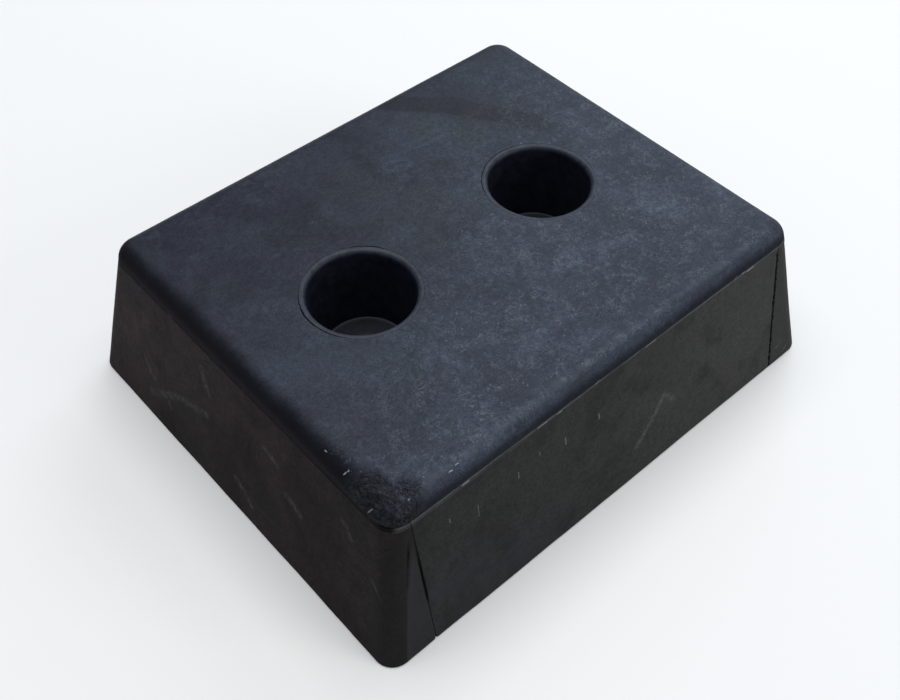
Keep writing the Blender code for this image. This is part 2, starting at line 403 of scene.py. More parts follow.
def build_cover(name, side, stations, point_at, material):
    """A cover as a thick sheet: relief on its outer face, rounded edges, plain inner face."""
    heights = graded(PARTING_Z, WALL_STEP, WALL_FINE)
    outer, inner = [], []
    for station in stations:
        for z in heights:
            (x, y), normal, distance, seam = point_at(side, station, z)
            out = wall_relief(x, y, z, normal)
            out -= edge_round(z, BOTTOM_RADIUS) + edge_round(PARTING_Z - z, RIM_RADIUS)
            if seam:
                out -= edge_round(distance, seam_lip(seam, z))
            outer.append((x + normal[0] * out, y + normal[1] * out, z))
            inner.append((x - normal[0] * COVER_THICKNESS, y - normal[1] * COVER_THICKNESS, z))
    rows, count = len(heights), len(outer)
    faces = []
    for i in range(len(stations) - 1):
        for j in range(rows - 1):
            a, b = i * rows + j, (i + 1) * rows + j
            faces.append((a, b, b + 1, a + 1))
            faces.append((count + a, count + a + 1, count + b + 1, count + b))
        low, low_next = i * rows, (i + 1) * rows
        high, high_next = low + rows - 1, low_next + rows - 1
        faces.append((low, count + low, count + low_next, low_next))
        faces.append((high, high_next, count + high_next, count + high))
    last = (len(stations) - 1) * rows
    for j in range(rows - 1):
        faces.append((j, j + 1, count + j + 1, count + j))
        faces.append((last + j, count + last + j, count + last + j + 1, last + j + 1))
    return add_piece(f"{name}_skin", outer + inner, faces, [name], material)


# === Top cover: flat face with a rolled rim, a wrinkled corner and two round openings ===

TOP_STEP = 1.5 * MM
RIM_STEPS = 14
FLAT_STEPS = 4
FAN_STEPS = 22
CAP_SHARP_ANGLE = 50


def rim_profile():
    """Points (distance out from the flat rectangle, z) down the rolled rim to the parting line."""
    radius = min(EDGE_RADIUS, (TOP_Z - CAP_BOTTOM_Z) / (1 - math.sin(DRAFT)) - 0.05 * MM)
    center_s = CAP_CORNER_RADIUS - radius * math.cos(DRAFT)
    center_z = TOP_Z - radius
    points = [(center_s * i / FLAT_STEPS, TOP_Z) for i in range(FLAT_STEPS)]
    for i in range(RIM_STEPS + 1):
        angle = math.pi / 2 - (math.pi / 2 - DRAFT) * i / RIM_STEPS
        points.append((center_s + radius * math.cos(angle), center_z + radius * math.sin(angle)))
    tuck = 0.35 * MM
    points.append((CAP_CORNER_RADIUS - tuck, CAP_BOTTOM_Z))
    return points


def spaced(half):
    """Evenly spaced places from -half to half, about TOP_STEP apart."""
    count = round(2 * half / TOP_STEP)
    return [mix(-half, half, i / count) for i in range(count + 1)]


TEAR_PLACE = Vector((EDGE_RADIUS - CAP_HALF[0], EDGE_RADIUS - CAP_HALF[1], 0.0))
TEAR_REACH = 17 * MM


def tear_amount(x, y):
    """How strongly the front left corner of the cap is wrinkled and torn, from 0 to 1."""
    offset = Vector((x, y, 0.0)) - TEAR_PLACE
    reach = offset.length / TEAR_REACH + 0.25 * wave((x, y, 0.0), 8 * MM, 8.0)
    return 1 - smooth(0.35, 1.05, reach)


def cap_relief(x, y, z):
    """How far the cap stands out from its plain form, along its normal."""
    place = (x, y, z)
    relief = 0.16 * MM * wave(place, 55 * MM, 11.0) + 0.05 * MM * wave(place, 14 * MM, 12.0)
    torn = tear_amount(x, y)
    if torn > 0:
        folds = noise.ridged_multi_fractal(
            Vector((x * 0.55 + y * 0.35, y * 0.9 - x * 0.3, z)) / (3.2 * MM), 0.9, 2.1, 4, 0.9, 2.0
        )
        relief += torn * (0.3 * MM * (folds - 1.2) + 0.25 * MM * rough(place, 2.0 * MM, 3, 13.0))
    nicks = smooth(0.5, 0.62, rough((x, y, 0.0), 5.0 * MM, 3, 14.0))
    low_edge = 1 - smooth(CAP_BOTTOM_Z + 0.6 * MM, CAP_BOTTOM_Z + 2.0 * MM, z)
    relief -= 0.45 * MM * nicks * low_edge
    return relief


def build_top_cover(material):
    """The cap as one closed solid, before its openings are cut."""
    flat_x, flat_y = (CAP_HALF[i] - CAP_CORNER_RADIUS for i in range(2))
    xs, ys = spaced(flat_x), spaced(flat_y)
    profile = rim_profile()
    verts, faces = [], []

    def place(x, y, z, normal):
        out = cap_relief(x, y, z)
        verts.append((x + normal[0] * out, y + normal[1] * out, z + normal[2] * out))
        return len(verts) - 1

    grid = [[place(x, y, TOP_Z, (0, 0, 1)) for y in ys] for x in xs]
    for i in range(len(xs) - 1):
        for j in range(len(ys) - 1):
            faces.append((grid[i][j], grid[i + 1][j], grid[i + 1][j + 1], grid[i][j + 1]))

    sides = (
        ([(x, -flat_y) for x in xs], [column[0] for column in grid]),
        ([(flat_x, y) for y in ys], grid[-1]),
        ([(x, flat_y) for x in reversed(xs)], [column[-1] for column in reversed(grid)]),
        ([(-flat_x, y) for y in reversed(ys)], grid[0][::-1]),
    )
    # the edge of the flat rectangle: plan point, outward direction and vertex, with a fan at each corner
    loop = []
    for k, (points, vertices) in enumerate(sides):
        facing = (k - 1) * QUARTER_TURN
        loop += [(x, y, facing, vertex) for (x, y), vertex in zip(points, vertices)]
        turns = [facing + QUARTER_TURN * i / FAN_STEPS for i in range(1, FAN_STEPS)]
        loop += [(*points[-1], turn, vertices[-1]) for turn in turns]
    rings = [[vertex for _, _, _, vertex in loop]]
    for k in range(1, len(profile)):
        before, here = profile[k - 1], profile[k]
        after = profile[k + 1] if k < len(profile) - 2 else here
        run, drop = after[0] - before[0], before[1] - after[1]
        size = math.hypot(run, drop)
        outward, upward = (drop / size, run / size) if k < len(profile) - 1 else (1.0, 0.0)
        ring = []
        for x, y, angle, _ in loop:
            out = (math.cos(angle), math.sin(angle))
            normal = (out[0] * outward, out[1] * outward, upward)
            ring.append(place(x + out[0] * here[0], y + out[1] * here[0], here[1], normal))
        rings.append(ring)
    for ring, lower in zip(rings, rings[1:]):
        for i in range(len(loop)):
            n = (i + 1) % len(loop)
            corners = [ring[i], lower[i], lower[n], ring[n]]
            faces.append(tuple(dict.fromkeys(corners)))
    faces.append(tuple(reversed(rings[-1])))
    return add_piece("top_cover_skin", verts, faces, ["top_cover"], material, CAP_SHARP_ANGLE)


MOUTH_STEPS = 128
MOUTH_GAP = 0.03 * MM
MERGE_DISTANCE = 0.003 * MM
# Levels of the mouth cutter: mm above the face, share of the seam's opening, and extra reach in mm.  It is
# straight up to the first level, so that its side faces are flat where they leave the cap.
MOUTH_LEVELS = ((-2.4, 0.0, 0.0), (-1.6, 0.15, 0.0), (-0.5, 0.7, 0.0), (0.25, 1.0, 0.06), (3.0, 1.0, 0.06))


def mouth_cutter(side):
    """Closed tool that cuts a mouth, flared where the ring seam round the liner has opened."""
    _, _, center_x, radius = round_place(f"recess_liner_{side}")
    form = bmesh.new()
    levels = [(CAP_BOTTOM_Z - 3 * MM, 0.0, 0.0)]
    levels += [(TOP_Z + rise * MM, share, extra) for rise, share, extra in MOUTH_LEVELS]
    rings = []
    for z, share, extra in levels:
        ring = []
        for i in range(MOUTH_STEPS):
            angle = 2 * math.pi * i / MOUTH_STEPS
            flare = share * mouth_opening(side, angle) + extra * MM
            reach = radius + MOUTH_GAP + flare
            ring.append(form.verts.new((center_x + reach * math.cos(angle), reach * math.sin(angle), z)))
        rings.append(ring)
    for lower, upper in zip(rings, rings[1:]):
        for i in range(MOUTH_STEPS):
            n = (i + 1) % MOUTH_STEPS
            form.faces.new((lower[i], lower[n], upper[n], upper[i]))
    form.faces.new(list(reversed(rings[0])))
    form.faces.new(rings[-1])
    mesh = bpy.data.meshes.new(f"mouth_{side}")
    form.to_mesh(mesh)
    form.free()
    return bpy.data.objects.new(f"mouth_{side}", mesh)


# Where the ring seams have opened: direction and half angle in eighths of a turn from +X, and width in mm.
EIGHTH = math.pi / 4
OPENED = {
    "left": ((4, 1, 0.8), (1, 0.5, 0.8)),
    "right": ((3, 1, 0.4), (2, 0.5, 0.4)),
}


def mouth_opening(side, angle):
    """How far the ring seam gapes at an angle round a mouth."""
    width = 0.02
    for direction, reach, most in OPENED[side]:
        middle = direction * EIGHTH
        half = reach * EIGHTH
        away = abs((angle - middle + math.pi) % (2 * math.pi) - math.pi)
        ragged = 0.75 + 0.5 * wave((math.cos(angle), math.sin(angle), 0.0), 0.13, middle)
        width += most * (1 - smooth(0.35 * half, half, away)) * max(0.0, ragged)
    return width * MM


def cut_mouths(item):
    """Cut both mouths into the cap and keep the result as its mesh."""
    for side in SIDES:
        cutter = mouth_cutter(side)
        bpy.context.scene.collection.objects.link(cutter)
        modifier = item.modifiers.new("mouth", "BOOLEAN")
        modifier.operation = "DIFFERENCE"
        modifier.solver = "EXACT"
        modifier.object = cutter
        evaluated = item.evaluated_get(bpy.context.evaluated_depsgraph_get())
        cut_mesh = bpy.data.meshes.new_from_object(evaluated)
        item.modifiers.remove(modifier)
        item.data = cut_mesh
        bpy.data.objects.remove(cutter)
    form = bmesh.new()
    form.from_mesh(item.data)
    bmesh.ops.remove_doubles(form, verts=form.verts, dist=MERGE_DISTANCE)
    bmesh.ops.dissolve_degenerate(form, edges=form.edges, dist=MERGE_DISTANCE)
    form.to_mesh(item.data)
    form.free()
    item.data.shade_smooth()
    item.data.set_sharp_from_angle(angle=math.radians(CAP_SHARP_ANGLE))


# === Recess liners and seat washers ===

TURN_STEPS = 144


def turned_piece(name, center_x, profile, relief, replaced, material, sharp_angle=35):
    """Turn a closed profile of (radius, z), listed down the outside first, about an upright axis."""
    verts, faces = [], []
    for i in range(TURN_STEPS):
        angle = 2 * math.pi * i / TURN_STEPS
        for radius, z in profile:
            radius, z = relief(angle, radius, z)
            verts.append((center_x + radius * math.cos(angle), radius * math.sin(angle), z))
    rows = len(profile)
    for i in range(TURN_STEPS):
        n = (i + 1) % TURN_STEPS
        for j in range(rows):
            m = (j + 1) % rows
            faces.append((i * rows + j, i * rows + m, n * rows + m, n * rows + j))
    return add_piece(name, verts, faces, replaced, material, sharp_angle)


def arc(center, radii, start, end, steps):
    """Points on an elliptical arc in (radius, z)."""
    points = []
    for i in range(steps + 1):
        angle = start + (end - start) * i / steps
        points.append((center[0] + radii[0] * math.cos(angle), center[1] + radii[1] * math.sin(angle)))
    return points


BOLT_HOLE_RADIUS = 9.5 * MM
WASHER_HOLE_RADIUS = 8.75 * MM
WASHER_CLEARANCE = 0.3 * MM
WALL_ROWS = 24


def build_liner(side, material):
    """A recess liner: rounded lip, drafted wall with faint draw marks, filleted floor."""
    low, _, center_x, radius = round_place(f"recess_liner_{side}")
    washer_low, _, _, washer_radius = round_place(f"seat_washer_{side}")
    floor_z = washer_low.z - WASHER_CLEARANCE
    floor_radius = washer_radius + 2.0 * MM
    lip_radius = floor_radius + 2.1 * MM
    lip_width = radius - 1.1 * MM - lip_radius
    lip_drop = 3.6 * MM
    fillet = 1.6 * MM
    edge = 0.14 * MM
    profile = [(radius, TOP_Z - edge), (radius, TOP_Z - 8 * MM), (radius, low.z)]
    profile += [(BOLT_HOLE_RADIUS, low.z), (BOLT_HOLE_RADIUS, floor_z)]
    profile += [(mix(BOLT_HOLE_RADIUS, floor_radius - fillet, 0.5), floor_z)]
    profile += arc((floor_radius - fillet, floor_z + fillet), (fillet, fillet), -math.pi / 2, 0.0, 6)
    wall_low_z, wall_high_z = floor_z + fillet, TOP_Z - lip_drop
    for i in range(1, WALL_ROWS):
        share = i / WALL_ROWS
        profile.append((mix(floor_radius, lip_radius, share), mix(wall_low_z, wall_high_z, share)))
    profile += arc((lip_radius + lip_width, wall_high_z), (lip_width, lip_drop), math.pi, math.pi / 2, 12)
    profile += arc((radius - edge, TOP_Z - edge), (edge, edge), math.pi / 2, 0.0, 3)[1:-1]

    def relief(angle, r, z):
        if r > radius - 0.1 * MM or z < floor_z - 0.1 * MM:
            return r, z
        place = (SIDES[side] * 2.0 + math.cos(angle), math.sin(angle), z * 3.0)
        marks = 0.05 * MM * rough(place, 0.09, 3)
        sag = 0.1 * MM * wave(place, 0.8, 2.0)
        return r + marks + sag, z

    name = f"recess_liner_{side}"
    return turned_piece(f"{name}_skin", center_x, profile, relief, [name], material)


def build_washer(side, material):
    """A seat washer with a rolled rim that catches the light."""
    low, high, center_x, radius = round_place(f"seat_washer_{side}")
    hole = WASHER_HOLE_RADIUS
    rim = 0.9 * MM
    profile = arc((radius - rim, high.z - rim), (rim, rim), math.pi / 2, 0.0, 5)
    profile += arc((radius - 0.4 * MM, low.z + 0.4 * MM), (0.4 * MM, 0.4 * MM), 0.0, -math.pi / 2, 2)
    profile += [(mix(hole, radius, 0.5), low.z), (hole + 0.3 * MM, low.z), (hole, low.z + 0.3 * MM)]
    profile += arc((hole + rim, high.z - rim), (rim, rim), math.pi, math.pi / 2, 4)
    profile += [(mix(hole, radius, share), high.z - 0.12 * MM) for share in (0.25, 0.5, 0.75, 0.9)]

    def relief(angle, r, z):
        return r, z + 0.03 * MM * wave((r * math.cos(angle), r * math.sin(angle), 0.0), 9 * MM, radius)

    name = f"seat_washer_{side}"
    return turned_piece(f"{name}_skin", center_x, profile, relief, [name], material)


def build_base_sheet(material):
    """The mounting face: the CAD sheet with its long edges and hole edges eased."""
    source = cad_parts["base_sheet"].data
    form = bmesh.new()
    form.from_mesh(source)
    bmesh.ops.remove_doubles(form, verts=form.verts, dist=0.00001)
    bmesh.ops.dissolve_limit(
        form, angle_limit=math.radians(1.0), use_dissolve_boundaries=False, verts=form.verts, edges=form.edges
    )
    sharp = [edge for edge in form.edges if edge.calc_face_angle(0.0) > math.radians(50)]
    bmesh.ops.bevel(form, geom=sharp, offset=0.4 * MM, segments=2, profile=0.5, affect="EDGES")
    verts = [tuple(vert.co) for vert in form.verts]
    form.verts.index_update()
    faces = [tuple(vert.index for vert in face.verts) for face in form.faces]
    form.free()
    return add_piece("base_sheet_skin", verts, faces, ["base_sheet"], material)


# === Materials ===


class Nodes:
    """Short calls for building a node tree."""

    def __init__(self, tree):
        self.tree = tree

    def connect(self, value, socket):
        """Link a socket, or set a plain value."""
        if isinstance(value, bpy.types.NodeSocket):
            self.tree.links.new(value, socket)
        else:
            socket.default_value = value

    def node(self, kind, inputs, **settings):
        """New shader node: its settings are made first, then its inputs are linked or set."""
        item = self.tree.nodes.new(f"ShaderNode{kind}")
        for name, value in settings.items():
            setattr(item, name, value)
        for name, value in inputs.items():
            self.connect(value, item.inputs[name])
        return item

    def math(self, operation, a, b=0.0, clamp=False):
        """Result of one operation on one or two values."""
        return self.node("Math", {0: a, 1: b}, operation=operation, use_clamp=clamp).outputs[0]

    def step(self, value, low, high, to_low=0.0, to_high=1.0):
        """Smooth step of a value between two limits."""
        inputs = {"Value": value, "From Min": low, "From Max": high, "To Min": to_low, "To Max": to_high}
        return self.node("MapRange", inputs, interpolation_type="SMOOTHSTEP").outputs[0]

    def scale(self, color, factor):
        """Colour or vector multiplied by a number."""
        return self.node("VectorMath", {0: color, "Scale": factor}, operation="SCALE").outputs[0]


class Shader(Nodes):
    """A Principled material under construction, with the colour painted so far."""

    def __init__(self, name, roughness, specular):
        self.material = bpy.data.materials.new(name)
        self.material.use_nodes = True
        super().__init__(self.material.node_tree)
        self.bsdf = self.tree.nodes["Principled BSDF"]
        self.bsdf.inputs["Roughness"].default_value = roughness
        self.bsdf.inputs["Specular IOR Level"].default_value = specular
        self.bsdf.inputs["IOR"].default_value = 1.45
        self.place = self.node("TexCoord", {}).outputs["Object"]
        self.x, self.y, self.z = self.node("SeparateXYZ", {0: self.place}).outputs
        self.color = None

    def below(self, level, start, end):
        """Mask that grows between two distances in mm below a level."""
        return self.step(self.z, level - start * MM, level - end * MM)

    def mapped(self, location, scale, turn=(0, 0, 0)):
        """The place in moved, turned and stretched axes."""
        angles = [math.radians(a) for a in turn]
        inputs = {"Vector": self.place, "Location": location, "Rotation": angles, "Scale": scale}
        return self.node("Mapping", inputs, vector_type="TEXTURE").outputs[0]

    def noise(
        self, size, detail=3.0, roughness=0.5, distortion=0.0, seed=0.0, stretch=(1, 1, 1), turn=(0, 0, 0)
    ):
        """Noise with features of a size in metres, which may be stretched along turned axes."""
        place = self.mapped((seed, seed * 0.7, -seed), [size * s for s in stretch], turn)
        inputs = {"Vector": place, "Scale": 1.0, "Detail": detail, "Roughness": roughness}
        return self.node("TexNoise", {**inputs, "Distortion": distortion}).outputs["Fac"]

    def patches(self, low, high, *args, **options):
        """Mask of the places where a noise passes from one value to another."""
        return self.step(self.noise(*args, **options), low, high)

    def wobble(self, *args, **options):
        """Noise moved to lie around 0."""
        return self.math("SUBTRACT", self.noise(*args, **options), 0.5)

    def specks(self, size, radius, share, seed=0.0):
        """Small round specks: only a share of the cells hold one."""
        cells = self.node("TexVoronoi", {"Scale": 1.0, "Vector": self.mapped([seed] * 3, [size] * 3)})
        near = self.step(cells.outputs["Distance"], radius / size, 0.4 * radius / size)
        chosen = self.node("SeparateColor", {0: cells.outputs["Color"]}).outputs[0]
        return self.product(near, self.math("LESS_THAN", chosen, share))

    def marks(self, strokes, wider=1.0):
        """Mask of strokes, 1 in the middle of each and 0 at its width."""
        masks = []
        for start, end, width in strokes:
            inputs = {"Place": self.place, "Start": start, "End": end, "Width": width * wider}
            masks.append(self.node("Group", inputs, node_tree=stroke_group()).outputs["Mask"])
        return self.strongest(masks)

    def strongest(self, masks):
        """The strongest of several masks."""
        best = masks[0]
        for mask in masks[1:]:
            best = self.math("MAXIMUM", best, mask)
        return best

    def product(self, *values):
        """Product of several masks."""
        result = values[0]
        for value in values[1:]:
            result = self.math("MULTIPLY", result, value)
        return result

    def total(self, *values, clamp=False):
        """Sum of several masks."""
        result = values[0]
        for value in values[1:-1]:
            result = self.math("ADD", result, value)
        return self.math("ADD", result, values[-1], clamp)

    def rest(self, mask):
        """What a mask leaves."""
        return self.math("SUBTRACT", 1.0, mask)

    def mix(self, share, a, b):
        """Mix of two colours."""
        a, b = (value if isinstance(value, bpy.types.NodeSocket) else (*value, 1.0) for value in (a, b))
        return self.node("Mix", {0: share, 6: a, 7: b}, data_type="RGBA").outputs[2]

    def paint(self, color, *masks):
        """Paint a colour over the one so far, by the product of masks and amounts."""
        self.color = self.mix(self.product(*masks), self.color, color)

    def shade(self, factor):
        """Make the colour so far lighter or darker by a factor."""
        self.color = self.scale(self.color, factor)

    def grain(self, amount, seed):
        """Factor near 1 that varies from speck to speck, for the fine mottle of moulded rubber."""
        fine = self.wobble(0.75 * MM, 2, 0.7, seed=seed)
        coarse = self.wobble(2.6 * MM, 4, 0.7, seed=seed + 0.5)
        return self.total(self.product(fine, 1.2 * amount), self.product(coarse, 0.8 * amount), 1.0)

    def line(self, size, width, seed, detail=3.0):
        """Wandering thin lines, where a noise crosses its middle value."""
        away = self.math("ABSOLUTE", self.wobble(size, detail, 0.6, 1.0, seed=seed))
        return self.step(away, width, 0.0)

    def bump(self, height, distance, strength, before=None):
        """Bump from a height, over an earlier bump."""
        inputs = {"Strength": strength, "Distance": distance, "Height": height}
        if before:
            inputs["Normal"] = before
        return self.node("Bump", inputs).outputs[0]

    def finish(self, normal, roughness=None):
        """Link the shader's inputs and give the material back."""
        self.connect(self.color, self.bsdf.inputs["Base Color"])
        self.connect(normal, self.bsdf.inputs["Normal"])
        if roughness:
            self.connect(roughness, self.bsdf.inputs["Roughness"])
        return self.material


def stroke_group():
    """Node group for the mask of a stroke, by the distance to a line between two points."""
    name = "stroke_mask"
    if name in bpy.data.node_groups:
        return bpy.data.node_groups[name]
    group = bpy.data.node_groups.new(name, "ShaderNodeTree")
    for socket, kind in (("Place", "Vector"), ("Start", "Vector"), ("End", "Vector"), ("Width", "Float")):
        group.interface.new_socket(socket, in_out="INPUT", socket_type=f"NodeSocket{kind}")
    group.interface.new_socket("Mask", in_out="OUTPUT", socket_type="NodeSocketFloat")
    given = group.nodes.new("NodeGroupInput").outputs
    nodes = Nodes(group)

    def vector(operation, a, b, output="Vector"):
        return nodes.node("VectorMath", {0: a, 1: b}, operation=operation).outputs[output]

    along = vector("SUBTRACT", given["End"], given["Start"])
    offset = vector("SUBTRACT", given["Place"], given["Start"])
    reached = vector("DOT_PRODUCT", offset, along, "Value")
    squared = vector("DOT_PRODUCT", along, along, "Value")
    nearest = nodes.scale(along, nodes.math("DIVIDE", reached, squared, clamp=True))
    apart = vector("SUBTRACT", offset, nearest)
    distance = nodes.node("VectorMath", {0: apart}, operation="LENGTH").outputs["Value"]
    mask = nodes.step(distance, given["Width"], 0.0)
    group.links.new(mask, group.nodes.new("NodeGroupOutput").inputs["Mask"])
    return group


RIM_CHIPS = 3
FLECK_COUNT = 9


def on_rim(edge, along, turn):
    """Point on the left or front rim: along from -1 to 1, turn from 0 at the flat to 1 low down."""
    out, z = rim_profile()[FLAT_STEPS + round(turn * RIM_STEPS)]
    if edge == "left":
        return Vector((CAP_CORNER_RADIUS - CAP_HALF[0] - out, along * CAP_HALF[1], z))
    return Vector((along * CAP_HALF[0], CAP_CORNER_RADIUS - CAP_HALF[1] - out, z))


def rim_chips():
    """Chips on the left and front rims, closer together towards the corner between them."""
    draw = random.Random(5)
    strokes = []
    for edge in ("left", "front"):
        for i in range(RIM_CHIPS):
            along = mix(-0.9, -0.5, i / RIM_CHIPS) + draw.uniform(-0.08, 0.08)
            turn = draw.uniform(0.3, 0.8)
            end = on_rim(edge, along + draw.uniform(0.002, 0.014), turn + draw.uniform(-0.1, 0.2))
            strokes += route([on_rim(edge, along, turn), end], draw.uniform(0.4, 0.9) * MM)
    return strokes


def bead_flecks():
    """Pale flecks where the flash at the top of the front wall has chipped."""
    draw = random.Random(12)
    strokes = []
    for i in range(FLECK_COUNT):
        along = mix(-0.9, 0.9, (i + draw.random()) / FLECK_COUNT)
        up = draw.uniform(0.975, 0.995)
        points = [on_front_wall(along, up), on_front_wall(along + draw.uniform(0.01, 0.06), up)]
        strokes += route(points, draw.uniform(0.5, 1.0) * MM)
    return strokes


# Bands on the impact face: wiped across the back right part, smears and a brushed zone behind the
# middle, and a thin painted sheen along the front roll
WIPED = route([on_top(0.3, 0.95), on_top(0.5, 0.7), on_top(0.7, 0.3)], 11 * MM)
SMEARS = route([on_top(0.0, 0.7), on_top(0.0, 0.5), on_top(0.25, 0.4)], 8 * MM)
BRUSHED = route([on_top(0.1, 0.6), on_top(0.3, 0.6)], 24 * MM)
ROLL_START = (CAP_HALF[0] - CAP_CORNER_RADIUS, CAP_HALF[1] - CAP_CORNER_RADIUS)
SHEEN_DEEP = -(ROLL_START[1] + 0.5 * EDGE_RADIUS) / CAP_HALF[1]
EDGE_SHEEN = route([on_top(-0.8, SHEEN_DEEP), on_top(0.9, SHEEN_DEEP)], 3.4 * MM)
TEAR_WIDTH = 13 * MM


def corner_tear(s):
    """Ragged mask of the torn front left corner, which runs a little way along both rims."""
    tip = Vector((-CAP_HALF[0], -CAP_HALF[1], TOP_Z - 3 * MM))
    inner = TEAR_PLACE + Vector((0.0, 0.0, TOP_Z))
    strokes = []
    for run in (Vector((0.0, 0.2 * CAP_HALF[1], 0.0)), Vector((0.1 * CAP_HALF[0], 0.0, 0.0))):
        strokes += route([tip, tip + run], TEAR_WIDTH)
        strokes += route([inner, inner + 0.6 * run], 0.8 * TEAR_WIDTH)
    edge = s.wobble(6 * MM, 6, 0.75, seed=9.0)
    return s.step(s.total(s.marks(strokes), edge), -0.05, 1.05)


def fine_normal(s, grain, pits):
    """Bump of moulded rubber: broad unevenness, then grain."""
    broad = s.bump(s.noise(9 * MM, 3, 0.55), 0.25 * MM, pits)
    return s.bump(s.noise(0.7 * MM, 4, 0.65), 0.05 * MM, grain, broad)


